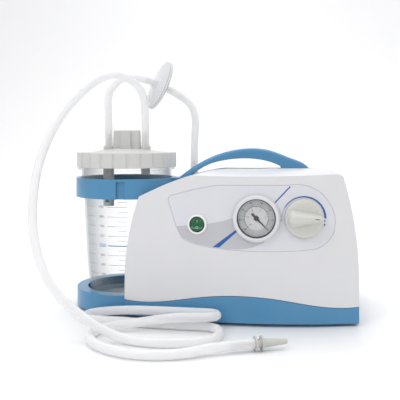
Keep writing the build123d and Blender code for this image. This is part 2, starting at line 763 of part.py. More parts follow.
# Inlet nozzle on the housing
with BuildPart() as inlet_nozzle:
    add(round_bar(*nozzle_at, nozzle_floor, nozzle_floor + 4, 8))
    add(round_bar(*nozzle_at, nozzle_floor - 12, nozzle_floor + 12.8, 4))
    add(round_bar(*nozzle_at, nozzle_floor, nozzle_floor + 32, barb_r))
    add(round_bar(*nozzle_at, 0, far, 1.6), mode=Mode.SUBTRACT)
save(inlet_nozzle, "inlet_nozzle")

# Pump frame on its rubber mounts: plate, two bearing uprights and the cylinder shelf
plate_low = floor_z + mount_h
plate_top = plate_low + plate_t
mount_places = [(-24, -16), (-24, 46), (94, -16), (94, 46)]
shelf_z = 81.0
shelf_t = 3.0
shaft_axis_plane = Plane(origin=(0, shaft_y, shaft_z), x_dir=(0, 1, 0), z_dir=(1, 0, 0))


def on_shaft(radius, low, high, hole=0.0):
    """Disc or ring on the motor axis between two X values."""
    return disc(shaft_axis_plane, radius, low, high, hole)


with BuildPart() as rubber_mounts:
    with BuildSketch(Plane.XY.offset(floor_z)):
        with Locations(*mount_places):
            Circle(7)
    extrude(amount=mount_h)
save(rubber_mounts, "rubber_mounts")

with BuildPart() as pump_frame:
    add(block(-31, -23, plate_low, 132, 76, plate_t))
    add(block(upright_x, shaft_y - 26, plate_top, upright_t, 52, shelf_z + shelf_t - plate_top))
    add(block(rear_upright_x, shaft_y - 20, plate_top, upright_t, 40, shaft_z + 16 - plate_top))
    add(block(-30, shaft_y - 28, shelf_z, 60, 56, shelf_t))
    add(round_bar(0, shaft_y, 60, 90, cylinder_bore_r), mode=Mode.SUBTRACT)
    for x in (upright_x, rear_upright_x):
        add(on_shaft(bearing_r, x - 1, x + upright_t + 1), mode=Mode.SUBTRACT)
save(pump_frame, "pump_frame")

with BuildPart() as motor_bearings:
    for x in (upright_x, rear_upright_x):
        middle = x + upright_t / 2
        add(on_shaft(bearing_r, middle - bearing_t / 2, middle + bearing_t / 2, shaft_r + 0.05))
save(motor_bearings, "motor_bearings")

stator_half = shaft_z - plate_top
with BuildPart() as motor_stator:
    add(block(40, shaft_y - stator_half, plate_top, 32, 2 * stator_half, 2 * stator_half))
    fillet(motor_stator.edges().filter_by(Axis.X), 5)
    add(on_shaft(18.6, 30, 80), mode=Mode.SUBTRACT)
save(motor_stator, "motor_stator")

with BuildPart() as motor_windings:
    add(on_shaft(27, 30, 40, 19.4))
    add(on_shaft(27, 72, 82, 19.4))
    fillet(motor_windings.edges().filter_by(GeomType.CIRCLE), 2.5)
save(motor_windings, "motor_windings")

with BuildPart() as rotor_core:
    add(on_shaft(17.8, 38, 74, shaft_r + 0.02))
save(rotor_core, "rotor_core")

with BuildPart() as motor_shaft:
    add(on_shaft(shaft_r, 10, 114))
save(motor_shaft, "motor_shaft")

crank_plane = shaft_axis_plane.offset(0)
crank_plane.origin = (0, shaft_y, shaft_z + crank_throw)
with BuildPart() as crank_eccentric:
    add(on_shaft(13, 8.5, 15))
    add(on_shaft(shaft_r + 0.02, 10, 16), mode=Mode.SUBTRACT)
    add(disc(crank_plane, shaft_r, -6, 9))
save(crank_eccentric, "crank_eccentric")

with BuildPart() as cooling_fan:
    add(on_shaft(11, 99, 111, shaft_r + 0.02))
    with BuildSketch(shaft_axis_plane.offset(101)):
        with PolarLocations(18, 9):
            Rectangle(22, 2, rotation=25)
    extrude(amount=8)
save(cooling_fan, "cooling_fan")

rod_r = 9.0
with BuildPart() as crank_pin_bearing:
    add(disc(crank_plane, rod_r, -4.5, 4.5, shaft_r + 0.05))
save(crank_pin_bearing, "crank_pin_bearing")

piston_z = shaft_z + crank_throw + 44.0
with BuildPart() as connecting_rod:
    add(disc(crank_plane, rod_r + 4, -4.5, 4.5))
    add(block(-4, shaft_y - 4.5, shaft_z + crank_throw, 8, 9, 44))
    add(round_bar(0, shaft_y, piston_z, piston_z + 4, piston_r))
    add(disc(crank_plane, rod_r + 0.02, -6, 6), mode=Mode.SUBTRACT)
save(connecting_rod, "connecting_rod")

with BuildPart() as piston_cup:
    add(round_bar(0, shaft_y, piston_z + 4, piston_z + 5.5, piston_r + 0.5))
save(piston_cup, "piston_cup")

cylinder_top = piston_z + 5.5 + 5.0
cylinder_r = cylinder_bore_r + 3.0
with BuildPart() as cylinder:
    add(round_bar(0, shaft_y, shelf_z + shelf_t, cylinder_top, cylinder_r))
    for rib in range(3):
        low = shelf_z + 7 + 6 * rib
        add(round_bar(0, shaft_y, low, low + 2, cylinder_r + 4))
    add(round_bar(0, shaft_y, 0, far, cylinder_bore_r), mode=Mode.SUBTRACT)
save(cylinder, "cylinder")

with BuildPart() as valve_plate:
    add(round_bar(0, shaft_y, cylinder_top, cylinder_top + 2.5, cylinder_r))
    with BuildSketch(Plane.XY.offset(cylinder_top)):
        with Locations((-10, shaft_y), (10, shaft_y)):
            Circle(3)
    extrude(amount=2.5, mode=Mode.SUBTRACT)
save(valve_plate, "valve_plate")

head_low = cylinder_top + 2.5
head_top = head_low + 13.0
with BuildPart() as cylinder_head:
    add(round_bar(0, shaft_y, head_low, head_top, cylinder_r))
    for side in (-1, 1):
        add(round_bar(10 * side, shaft_y, head_low, head_low + 9, 7), mode=Mode.SUBTRACT)
        add(round_bar(10 * side, shaft_y, head_top - 1, head_top + 8, 4.5))
        add(round_bar(10 * side, shaft_y, head_low, head_top + 9, 2), mode=Mode.SUBTRACT)
save(cylinder_head, "cylinder_head")

with BuildPart() as exhaust_silencer:
    add(round_bar(10, shaft_y, head_top + 8, head_top + 24, 9))
    fillet(exhaust_silencer.faces().sort_by(Axis.Z)[-1].edges(), 2)
    add(round_bar(10, shaft_y, head_top + 7, head_top + 12, 2), mode=Mode.SUBTRACT)
save(exhaust_silencer, "exhaust_silencer")

# Rigid air lines inside: from the inlet nozzle to the pump head, with the regulator and gauge branches
line_r = 3.2
line_bore = 1.6
nozzle_low = nozzle_floor - 12
head_port = (-10, shaft_y, head_top + 8)
intake_line = tube("intake_line", [
    (*nozzle_at, nozzle_low), (nozzle_at[0], nozzle_at[1], nozzle_low - 13),
    (nozzle_at[0] - 4, shaft_y + 2, nozzle_low - 14), (-22, shaft_y, head_top + 18),
    (-10, shaft_y, head_top + 20), head_port], line_r, line_bore)
save(intake_line, "intake_line")

# Mains inlet with its pins, fuse drawer and fuses
inlet_x, inlet_z = inlet_at
drawer_w = 22.0
drawer_h = 9.0
drawer_d = 22.0
drawer_z = inlet_z - 18.0
socket_z = inlet_z + 6.0
pin_places = [(inlet_x - 7, socket_z), (inlet_x + 7, socket_z), (inlet_x, socket_z + 4)]
face_y = rear_y + 2.0


def rear_prism(x, z, dx, dz, y_low, y_high):
    """Box centred on an X and Z place between two depths."""
    return block(x - dx / 2, y_low, z - dz / 2, dx, y_high - y_low, dz)


with BuildPart() as power_inlet:
    add(rear_prism(inlet_x, inlet_z, 36, 52, rear_y, face_y))
    add(rear_prism(inlet_x, inlet_z, 30, 44, rear_y - 28, rear_y))
    add(rear_prism(inlet_x, socket_z, 25, 17, rear_y - 15, face_y), mode=Mode.SUBTRACT)
    add(rear_prism(inlet_x, drawer_z, drawer_w + 2 * fit, drawer_h + 2 * fit, rear_y - drawer_d, face_y),
        mode=Mode.SUBTRACT)
    for x, z in pin_places:
        add(rear_prism(x, z, 2.2, 4.2, rear_y - 30, rear_y - 14), mode=Mode.SUBTRACT)
save(power_inlet, "power_inlet")

with BuildPart() as inlet_pins:
    for x, z in pin_places:
        add(rear_prism(x, z, 2.0, 4.0, rear_y - 36, rear_y - 3))
save(inlet_pins, "inlet_pins")

with BuildPart() as fuse_drawer:
    add(rear_prism(inlet_x, drawer_z, drawer_w, drawer_h, rear_y - drawer_d + fit, face_y))
    add(rear_prism(inlet_x, drawer_z + 1.5, drawer_w - 3, drawer_h, rear_y - drawer_d + 2, rear_y - 0.5),
        mode=Mode.SUBTRACT)
    add(rear_prism(inlet_x, drawer_z - 2, 8, 2, face_y - 1, face_y), mode=Mode.SUBTRACT)
save(fuse_drawer, "fuse_drawer")

fuse_r = 2.4
fuse_z = drawer_z - drawer_h / 2 + 1.5 + fuse_r
with BuildPart() as fuses:
    with BuildSketch(Plane.XZ.offset(-(rear_y - 1))):
        with Locations((inlet_x - 5, fuse_z), (inlet_x + 5, fuse_z)):
            Circle(fuse_r)
    extrude(amount=18)
save(fuses, "fuses")

# Louvred vent cover on the rear wall
with BuildPart() as vent_cover:
    with BuildSketch(Plane.XZ.offset(-face_y)):
        with Locations(vent_at):
            RectangleRounded(*vent_size, 5)
            with GridLocations(0, 8, 1, 6):
                SlotOverall(vent_size[0] - 18, 3.4, mode=Mode.SUBTRACT)
    extrude(amount=face_y - rear_y)
save(vent_cover, "vent_cover")

# Screws that hold the housing to the base
with BuildPart() as housing_screws:
    for x, y in screw_places:
        add(round_bar(x, y, foot_height + 0.6, foot_height + 3, 3.2))
        add(round_bar(x, y, foot_height + 3, 36, 1.75))
        add(round_bar(x, y, foot_height, foot_height + 2, 1.3), mode=Mode.SUBTRACT)
save(housing_screws, "housing_screws")
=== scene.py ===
"""Suction pump: finishes, soft tubes, printed marks and stage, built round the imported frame."""

import math

import bpy
from bpy.props import FloatProperty, FloatVectorProperty, PointerProperty
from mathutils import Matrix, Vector


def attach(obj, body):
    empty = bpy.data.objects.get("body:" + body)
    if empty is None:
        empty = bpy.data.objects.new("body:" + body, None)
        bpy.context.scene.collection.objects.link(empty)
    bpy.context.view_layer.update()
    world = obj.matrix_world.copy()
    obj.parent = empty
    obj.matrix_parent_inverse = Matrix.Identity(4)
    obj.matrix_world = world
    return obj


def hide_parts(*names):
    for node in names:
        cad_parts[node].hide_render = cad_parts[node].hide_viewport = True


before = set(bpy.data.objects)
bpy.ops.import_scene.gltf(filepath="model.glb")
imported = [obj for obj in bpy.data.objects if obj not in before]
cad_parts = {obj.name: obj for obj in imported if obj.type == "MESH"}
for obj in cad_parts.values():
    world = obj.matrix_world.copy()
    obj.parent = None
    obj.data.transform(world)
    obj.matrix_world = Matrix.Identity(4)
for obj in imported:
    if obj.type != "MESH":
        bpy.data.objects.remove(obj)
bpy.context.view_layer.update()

bl_info = {
    "name": "Suction Pump",
    "version": (1, 0, 0),
    "blender": (4, 5, 0),
    "location": "3D View > Sidebar > Suction Pump",
    "description": "Finishes, tubes, printed marks and stage for a portable suction pump",
    "category": "Add Mesh",
}

MM = 0.001

# Front face of the housing: a shallow arc across the machine that leans back as it rises
MID_X = 38.5
FRONT_Y = -90.0
FRONT_R = 454.125
LEAN = math.radians(2.5)
# How far the label's printed face lies behind the housing's arc
LABEL_RECESS = 0.12
# How far print stands out of the label, so that one layer covers another
FIELD_RISE = 0.02
LINE_RISE = 0.06

SWITCH_AT = (-8.1, 113.8)
GAUGE_AT = (59.7, 121.8)
KNOB_AT = (113.1, 122.0)

# The gauge's zero and its travel in degrees, where its pointer rests and the heights of the painted shade
# ring, the print and the pointer
GAUGE_START, GAUGE_SWEEP = -45.0, 270.0
GAUGE_REST = -45.0
GAUGE_FACE_RISE = 0.2
DIAL_SHADE_RING_W, DIAL_SCALE_W = -1.58, -1.56
POINTER_W = (-1.2, -0.7)

KNOB_RISE = 0.6

JAR_X, JAR_Y = -111.0, -6.0
HALF_LITRE_Z = 82.0
SCALE_TOP_Z = 137
INK_LIFT = 0.03

CAMERA_AT = (0.0949, -0.7927, 0.210)
CAMERA_TURN = 8
CAMERA_LENS = 56.16
CAMERA_SHIFT = -0.1485
SWEEP_FOOT_Y = 1.2
SWEEP_R = 0.8
LIGHTS_AIM = (0, 0, 0.1)


def linear(code):
    """An sRGB hex colour as the linear RGB that a shader takes."""
    values = [int(code[at : at + 2], 16) / 255 for at in (0, 2, 4)]
    return [v / 12.92 if v <= 0.04045 else ((v + 0.055) / 1.055) ** 2.4 for v in values]


def colour_setting(label, about, code):
    return FloatVectorProperty(
        name=label, description=about, default=linear(code), size=3, min=0, max=1, subtype="COLOR"
    )


class PumpSizes(bpy.types.PropertyGroup):
    tube_diameter: FloatProperty(
        name="Tube diameter",
        description="Outside diameter of the silicone tubes",
        default=0.010,
        min=0.006,
        max=0.014,
        unit="LENGTH",
    )
    ink_thickness: FloatProperty(
        name="Ink thickness",
        description="Thickness of the printed marks",
        default=0.00012,
        min=0.00002,
        max=0.0005,
        unit="LENGTH",
    )
    scale_step: FloatProperty(
        name="Jar scale step",
        description="Height between two 100 ml marks on the jar",
        default=0.0118,
        min=0.005,
        max=0.02,
        unit="LENGTH",
    )
    soft_light: FloatProperty(
        name="Soft light",
        description="Strength of the even light from all round",
        default=1.0,
        min=0.0,
        max=3.0,
        subtype="FACTOR",
    )


class PumpColours(bpy.types.PropertyGroup):
    blue: colour_setting("Base blue", "Moulded base, handle and jar ring", "4D8DB8")
    white: colour_setting("Housing white", "Moulded upper housing", "E0E0E3")
    label: colour_setting("Label grey", "Film of the front label", "DDDDE4")
    shade: colour_setting("Label shade", "Darker field printed on the label", "C2C2C8")
    ink: colour_setting("Label blue", "Blue print on the label and the jar", "1B5FA8")
    rocker: colour_setting("Switch green", "Green rocker of the power switch", "015A33")
    cap: colour_setting("Cap white", "Moulded lid and screw ring", "D2D2D0")
    knob: colour_setting("Knob grey", "Suction knob", "D2D2CC")
    tube: colour_setting("Tube", "Silicone of the tubes", "FAFAFC")


def add_node(tree, kind, inputs=None, **settings):
    """Adds a node, sets its properties, and sets or links its inputs."""
    made = tree.nodes.new(kind)
    for name, value in settings.items():
        setattr(made, name, value)
    for name, value in (inputs or {}).items():
        if isinstance(value, bpy.types.NodeSocket):
            tree.links.new(value, made.inputs[name])
        else:
            made.inputs[name].default_value = value
    return made


def surface(name, colour, rough, grain, depth, mottle=0.05, stretch=(1, 1, 1), dust=0.08, edge=0.0,
            clear=None, **constants):
    """Material with an uneven colour, an uneven polish and a raised grain.

    grain is the size in mm of one grain of the surface, depth its height in mm, mottle how much the colour
    drifts over a few centimetres and stretch how far the grain is drawn out along X, Y and Z. edge is the
    radius in mm that the mould leaves on sharp edges. clear is how solid the wall looks face on and edge on.
    """
    finish = bpy.data.materials.new(name)
    finish.use_nodes = True
    tree = finish.node_tree
    shader = tree.nodes["Principled BSDF"]
    place = add_node(tree, "ShaderNodeTexCoord").outputs["Object"]
    drawn = add_node(tree, "ShaderNodeMapping", {"Vector": place, "Scale": stretch}).outputs["Vector"]
    # Thirty millimetre drifts of colour, as pigment and mould flow leave them
    drift = add_node(tree, "ShaderNodeTexNoise", {"Vector": place, "Scale": 1 / (30 * MM), "Detail": 3.0})
    grains = add_node(tree, "ShaderNodeTexNoise", {"Vector": drawn, "Scale": 1 / (grain * MM), "Detail": 2.0})
    dark = [part * (1 - mottle) for part in colour] + [1]
    light = [min(1, part * (1 + mottle * 0.6)) for part in colour] + [1]
    body = add_node(
        tree,
        "ShaderNodeMix",
        {0: drift.outputs["Fac"], 6: dark, 7: light},
        data_type="RGBA",
    )
    specks = add_node(
        tree,
        "ShaderNodeMapRange",
        {"Value": grains.outputs["Fac"], "From Min": 0.3, "From Max": 0.7, "To Min": 1 - dust, "To Max": 1.0},
    )
    tint = add_node(
        tree,
        "ShaderNodeMix",
        {0: 1.0, 6: body.outputs[2], 7: specks.outputs["Result"]},
        data_type="RGBA",
        blend_type="MULTIPLY",
    )
    polish = add_node(
        tree,
        "ShaderNodeMapRange",
        {"Value": drift.outputs["Fac"], "To Min": max(0, rough - 0.06), "To Max": min(1, rough + 0.06)},
    )
    bump = add_node(
        tree,
        "ShaderNodeBump",
        {"Height": grains.outputs["Fac"], "Distance": depth * MM, "Strength": 0.6},
    )
    if edge:
        rounded = add_node(tree, "ShaderNodeBevel", {"Radius": edge * MM}, samples=4)
        tree.links.new(rounded.outputs["Normal"], bump.inputs["Normal"])
    if clear:
        facing = add_node(tree, "ShaderNodeLayerWeight", {"Blend": 0.35}).outputs["Facing"]
        veil = add_node(tree, "ShaderNodeMapRange", {"Value": facing, "To Min": clear[0], "To Max": clear[1]})
        tree.links.new(veil.outputs["Result"], shader.inputs["Alpha"])
    tree.links.new(tint.outputs[2], shader.inputs["Base Color"])
    tree.links.new(polish.outputs["Result"], shader.inputs["Roughness"])
    tree.links.new(bump.outputs["Normal"], shader.inputs["Normal"])
    for socket, value in constants.items():
        shader.inputs[socket.replace("_", " ")].default_value = value
    return finish


def make_finishes(colours):
    """Every finish on the pump, by the name of what it is and how it was made."""
    abs_plastic = {"IOR": 1.53, "edge": 1.0}
    metal = {"Metallic": 1.0}
    made = [
        # Spark-eroded mould: a satin skin whose fine grain breaks up the highlight
        ("blue_abs_moulded", colours.blue, 0.24, 0.8, 0.02, abs_plastic),
        ("white_abs_moulded", colours.white, 0.32, 0.8, 0.02, abs_plastic | {"mottle": 0.02, "dust": 0.03}),
        # Printed polyester film: flatter and a little glossier than the housing round it
        ("polyester_label_film", colours.label, 0.3, 1.2, 0.01, {"mottle": 0.02, "dust": 0.03}),
        ("screen_ink_shade", colours.shade, 0.35, 1.0, 0.005, {"mottle": 0.03, "dust": 0.04}),
        ("screen_ink_blue", colours.ink, 0.3, 0.8, 0.005, {"mottle": 0.06, "dust": 0.06}),
        ("screen_ink_violet", linear("A9A8D6"), 0.3, 0.8, 0.005, {}),
        ("screen_ink_black", linear("26282B"), 0.4, 0.6, 0.004, {}),
        ("scale_ink_grey", linear("7E8790"), 0.4, 0.6, 0.004, {}),
        ("scale_ink_blue", linear("2C84B4"), 0.35, 0.6, 0.004, {}),
        # Moulded rubber: matt, with a dusty bloom
        ("nitrile_rubber_moulded", linear("2B2C2E"), 0.75, 1.0, 0.05, {"mottle": 0.15, "dust": 0.2}),
        # Rocker moulded in clear green polycarbonate: deep colour under a wet-looking skin
        ("green_polycarbonate_moulded", colours.rocker, 0.16, 2.0, 0.01, {"IOR": 1.58, "edge": 0.4}),
        ("rocker_mark_pad_printed", linear("8FCFB0"), 0.3, 0.8, 0.004, {}),
        # Nylon of the switch's rim and the hose's nozzle: a shade brighter and glossier than the housing
        ("white_nylon_moulded", linear("F3F3F2"), 0.28, 1.0, 0.015,
         {"IOR": 1.53, "mottle": 0.02, "dust": 0.03}),
        # Gauge parts: painted case, white-enamelled dial, turned brass and a polished clear lens
        ("black_painted_steel", linear("303236"), 0.5, 0.8, 0.02, {}),
        ("white_enamelled_dial", linear("E9E9E8"), 0.45, 0.7, 0.006, {"mottle": 0.04, "dust": 0.05}),
        ("clear_acrylic_polished", linear("C9CFD2"), 0.04, 6.0, 0.004,
         {"IOR": 1.49, "clear": (0.05, 0.5), "mottle": 0.0, "dust": 0.0}),
        ("brass_turned", linear("C9A552"), 0.28, 0.5, 0.01, metal | {"stretch": (8, 1, 1)}),
        # Warm grey ABS: the knob's soft highlight rolls over its grip
        ("grey_abs_moulded", colours.knob, 0.33, 0.8, 0.02, abs_plastic | {"mottle": 0.03, "dust": 0.04}),
        # Autoclavable polypropylene: waxy, slightly see-through white
        ("white_polypropylene_moulded", colours.cap, 0.34, 1.2, 0.02,
         {"Subsurface_Weight": 0.1, "Subsurface_Scale": 0.003, "Subsurface_Radius": (1, 1, 1),
          "mottle": 0.03, "dust": 0.03, "edge": 0.6}),
        # Float: a blue block that shows through the slots of its cage
        ("blue_polypropylene_moulded", linear("3F86B8"), 0.35, 1.2, 0.02, {}),
        # Clear polycarbonate: glassy, with the faint waviness of a blow-moulded wall
        ("clear_polycarbonate_moulded", linear("A9B3B8"), 0.05, 9.0, 0.03,
         {"IOR": 1.58, "clear": (0.02, 0.62), "mottle": 0.0, "dust": 0.0}),
        # Extruded silicone: milky, light passes in and spreads
        ("silicone_extruded", colours.tube, 0.24, 1.5, 0.02,
         {"IOR": 1.41, "clear": (0.62, 0.9), "Subsurface_Weight": 0.3, "Subsurface_Scale": 0.003,
          "Subsurface_Radius": (1, 1, 1), "mottle": 0.01, "dust": 0.02}),
        ("silicone_gasket_moulded", linear("DADCDD"), 0.5, 1.2, 0.02, {}),
        # Welded filter halves: frosted clear plastic over a white membrane
        ("frosted_acrylic_moulded", linear("E9EBEE"), 0.25, 1.5, 0.02,
         {"IOR": 1.49, "clear": (0.3, 0.85), "mottle": 0.02, "dust": 0.02}),
        # Painted shade on the dial: a grey ring under the outer scale, for the shade that the deep bezel
        # casts
        ("dial_ring_printed", linear("D0D2D4"), 0.4, 0.8, 0.005, {}),
        # Cast membrane and a moulded connector: both matt, the connector a little grey
        ("filter_membrane_cast", linear("FBFBFA"), 0.8, 0.8, 0.03, {}),
        ("grey_polypropylene_moulded", linear("C9CAC5"), 0.38, 1.0, 0.02, {"mottle": 0.04}),
        # Inside the housing: ground steel with fine lines, and a duller zinc skin
        ("steel_ground", linear("B9BCC0"), 0.3, 0.6, 0.01, metal | {"stretch": (1, 6, 1)}),
        ("steel_zinc_plated", linear("A9AEB3"), 0.35, 1.0, 0.01, metal),
        # Stacked iron sheets: dark lines across the stack
        ("iron_laminated", linear("74777B"), 0.45, 0.5, 0.05, metal | {"stretch": (6, 1, 1), "dust": 0.4}),
        # Enamelled wire wound in turns: copper lines with dark gaps
        ("copper_wire_wound", linear("B4643A"), 0.35, 0.9, 0.2,
         metal | {"stretch": (1, 0.2, 0.2), "dust": 0.5}),
        # Die-cast aluminium: dull and slightly pitted
        ("aluminium_die_cast", linear("B4B7BA"), 0.45, 1.4, 0.06, metal | {"dust": 0.12}),
        # Black nylon, grey hose and clear fuse glass
        ("black_nylon_moulded", linear("232427"), 0.45, 1.0, 0.03, {"IOR": 1.53}),
        ("grey_pvc_extruded", linear("8D9196"), 0.4, 1.5, 0.02, {}),
        ("fuse_glass_drawn", linear("DDE6E4"), 0.08, 3.0, 0.01, {"Transmission_Weight": 0.7, "IOR": 1.5}),
    ]
    finishes = {}
    for name, colour, rough, grain, depth, extra in made:
        finishes[name] = surface(name, list(colour), rough, grain, depth, **extra)
    return finishes


NODE_FINISHES = {
    "blue_abs_moulded": ["base_shell", "carry_handle"],
    "white_abs_moulded": ["upper_housing", "vent_cover", "gauge_bezel"],
    "polyester_label_film": ["control_label"],
    "nitrile_rubber_moulded": ["rubber_feet", "rubber_mounts", "piston_cup"],
    "white_nylon_moulded": ["switch_bezel", "inlet_nozzle"],
    "green_polycarbonate_moulded": ["switch_rocker"],
    "black_painted_steel": ["gauge_case"],
    "white_enamelled_dial": ["gauge_dial"],
    "clear_acrylic_polished": ["gauge_lens"],
    "brass_turned": ["gauge_movement", "regulator_body", "regulator_stem", "inlet_pins"],
    "white_polypropylene_moulded": ["lid_screw_ring", "lid_cover", "float_cage"],
    "blue_polypropylene_moulded": ["float_valve"],
    "clear_polycarbonate_moulded": ["jar_body"],
    "silicone_gasket_moulded": ["lid_gasket"],
    "frosted_acrylic_moulded": ["filter_inlet_half", "filter_outlet_half"],
    "filter_membrane_cast": ["filter_membrane"],
    "grey_polypropylene_moulded": ["conical_connector"],
    "steel_ground": ["motor_shaft", "motor_bearings", "crank_pin_bearing", "crank_eccentric"],
    "steel_zinc_plated": ["pump_frame", "housing_screws"],
    "iron_laminated": ["motor_stator", "rotor_core"],
    "copper_wire_wound": ["motor_windings"],
    "aluminium_die_cast": ["connecting_rod", "cylinder", "valve_plate", "cylinder_head"],
    "black_nylon_moulded": ["cooling_fan", "exhaust_silencer", "power_inlet", "fuse_drawer"],
    "grey_pvc_extruded": ["intake_line"],
    "fuse_glass_drawn": ["fuses"],
}


def front_y(x, z):
    """Depth in mm of the housing's front face at a place across and up it."""
    bulge = FRONT_R - math.sqrt(FRONT_R**2 - (x - MID_X) ** 2)
    return FRONT_Y + bulge + z * math.tan(LEAN)


def front_point(x, z, rise):
    """A point in mm on the front label, rise mm out of it."""
    return Vector((x, front_y(x, z) + LABEL_RECESS - rise, z))


class FacePlane:
    """A flat place on the front face, its third axis pointing out of the machine."""

    def __init__(self, at, rise):
        x, z = at
        angle = math.asin((x - MID_X) / FRONT_R)
        self.out = Vector((math.sin(angle), -math.cos(angle), math.sin(LEAN))).normalized()
        self.across = Vector((math.cos(angle), math.sin(angle), 0))
        self.up = self.out.cross(self.across)
        self.origin = Vector((x, front_y(x, z), z)) + self.out * rise

    def tipped(self, depth, degrees):
        """The plane moved back into the machine and tipped about its first axis."""
        turn = math.radians(degrees)
        moved = FacePlane.__new__(FacePlane)
        moved.across = self.across
        moved.out = self.out * math.cos(turn) + self.up * math.sin(turn)
        moved.up = moved.out.cross(moved.across)
        moved.origin = self.origin - self.out * depth
        return moved

    def point(self, u, v, w=0.0):
        return self.origin + self.across * u + self.up * v + self.out * w


def band(lower, upper):
    """Flat strip between two lines with the same number of points."""
    count = len(lower)
    faces = [(i, i + 1, count + i + 1, count + i) for i in range(count - 1)]
    return list(lower) + list(upper), faces


def bar(start, end, width, steps=8):
    """Straight stroke of one width."""
    (u0, v0), (u1, v1) = start, end
    half = width / 2
    length = math.hypot(u1 - u0, v1 - v0)
    side = (-(v1 - v0) / length, (u1 - u0) / length)
    lower, upper = [], []
    for step in range(steps + 1):
        t = step / steps
        u, v = u0 + (u1 - u0) * t, v0 + (v1 - v0) * t
        lower.append((u - side[0] * half, v - side[1] * half))
        upper.append((u + side[0] * half, v + side[1] * half))
    return band(lower, upper)


def arc(centre, inner, outer, start, end, steps=48, end_inner=None):
    """Part of a ring between two angles in degrees, its inner edge drawing in or out on the way."""
    lower, upper = [], []
    for step in range(steps + 1):
        t = step / steps
        angle = math.radians(start + (end - start) * t)
        near = inner if end_inner is None else inner + (end_inner - inner) * t
        lower.append((centre[0] + near * math.cos(angle), centre[1] + near * math.sin(angle)))
        upper.append((centre[0] + outer * math.cos(angle), centre[1] + outer * math.sin(angle)))
    return band(lower, upper)


def number(text, size, u, v):
    """Flat outline of a number, centred on a place."""
    curve = bpy.data.curves.new("number", "FONT")
    curve.body = text
    curve.size = size
    curve.align_x = "CENTER"
    curve.align_y = "CENTER"
    curve.resolution_u = 3
    holder = bpy.data.objects.new("number", curve)
    mesh = bpy.data.meshes.new_from_object(holder)
    points = [(u + corner.co.x, v + corner.co.y) for corner in mesh.vertices]
    faces = [tuple(face.vertices) for face in mesh.polygons]
    bpy.data.objects.remove(holder)
    bpy.data.curves.remove(curve)
    bpy.data.meshes.remove(mesh)
    return points, faces


def print_marks(context, name, shapes, place, body, finish):
    """Lays flat shapes on a surface as one thin layer of ink that rides on a body."""
    points, faces = [], []
    for shape_points, shape_faces in shapes:
        first = len(points)
        points += [place(u, v) * MM for u, v in shape_points]
        faces += [tuple(first + corner for corner in face) for face in shape_faces]
    mesh = bpy.data.meshes.new(name)
    mesh.from_pydata(points, [], faces)
    mesh.validate()
    mesh.materials.append(bpy.data.materials[finish])
    layer = bpy.data.objects.new(name, mesh)
    context.collection.objects.link(layer)
    thickness = layer.modifiers.new("ink", "SOLIDIFY")
    thickness.thickness = context.scene.pump_sizes.ink_thickness
    thickness.offset = 0
    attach(layer, body)
    return layer


class PUMP_OT_finishes(bpy.types.Operator):
    """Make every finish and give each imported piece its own"""

    bl_idname = "pump.finishes"
    bl_label = "Finishes"

    def execute(self, context):
        finishes = make_finishes(context.scene.pump_colours)
        for name, nodes in NODE_FINISHES.items():
            for node in nodes:
                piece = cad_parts[node]
                if not piece.material_slots:
                    piece.data.materials.append(finishes[name])
                for place in piece.material_slots:
                    place.link = "OBJECT"
                    place.material = finishes[name]
        return {"FINISHED"}


FILTER_CENTRE = Vector((-72.8, 16.0, 282.7))
FILTER_AXIS = Vector((0.802, 0.466, -0.373)).normalized()


def along_filter(distance):
    """A point in mm on the filter's axis, at a distance from its middle."""
    return tuple(FILTER_CENTRE + FILTER_AXIS * distance)


TUBES = {
    "vacuum_tube_jar_side": {
        "route": [
            (-135.5, -6, 203), (-135.5, -6, 238), (-137.5, -6, 276), along_filter(-43.2), along_filter(-10.2),
        ],
        "length": 0.1379,
        "node": "tube_jar_to_filter",
        "slot": "silicone_tubefilter",
        "far_end": "fitting",
        "with": ["filter_inlet_half"],
    },
    "vacuum_tube_pump_side": {
        "route": [
            (-29.5, 37, 165), (-29.5, 37, 206), (-27, 39.5, 249), along_filter(35.2), along_filter(10.2),
        ],
        "length": 0.1353,
        "node": "tube_filter_to_pump",
        "slot": "silicone_tubepump",
        "far_end": "fitting",
        "with": ["filter_outlet_half"],
    },
    "suction_tube_to_patient": {
        "route": [
            (-86.5, -6, 203), (-86.5, -6, 238), (-87.5, -16, 279), (-124, -39, 299.5), (-170, -72, 252),
            (-191, -108, 187), (-184, -143, 112), (-158, -160, 56), (-118, -161, 23), (-78, -166, 5.1),
            (-32, -175, 5.1), (22, -161, 5.1), (24, -110, 5.1), (-34, -110.5, 5.1), (-92, -105, 5.1),
            (-139, -102, 5.3), (-139.5, -77.5, 6), (-93, -84, 13), (-40, -93, 15.6), (-10, -94.5, 15.8),
            (17, -95.5, 16), (17.5, -118.5, 17.6), (-28, -121, 17), (-72, -123.5, 9.5), (-108, -130, 5.1),
            (-113, -166, 5.1), (-88, -196, 5.1), (-50, -211, 5.1), (-8, -205, 5.1), (28.39, -182.9, 7.8),
            (62, -170, 7.8),
        ],
        "length": 1.3496,
        "node": "patient_tube",
        "slot": "silicone_patienttube",
        "far_end": "connector",
        "with": ["conical_connector"],
    },
}


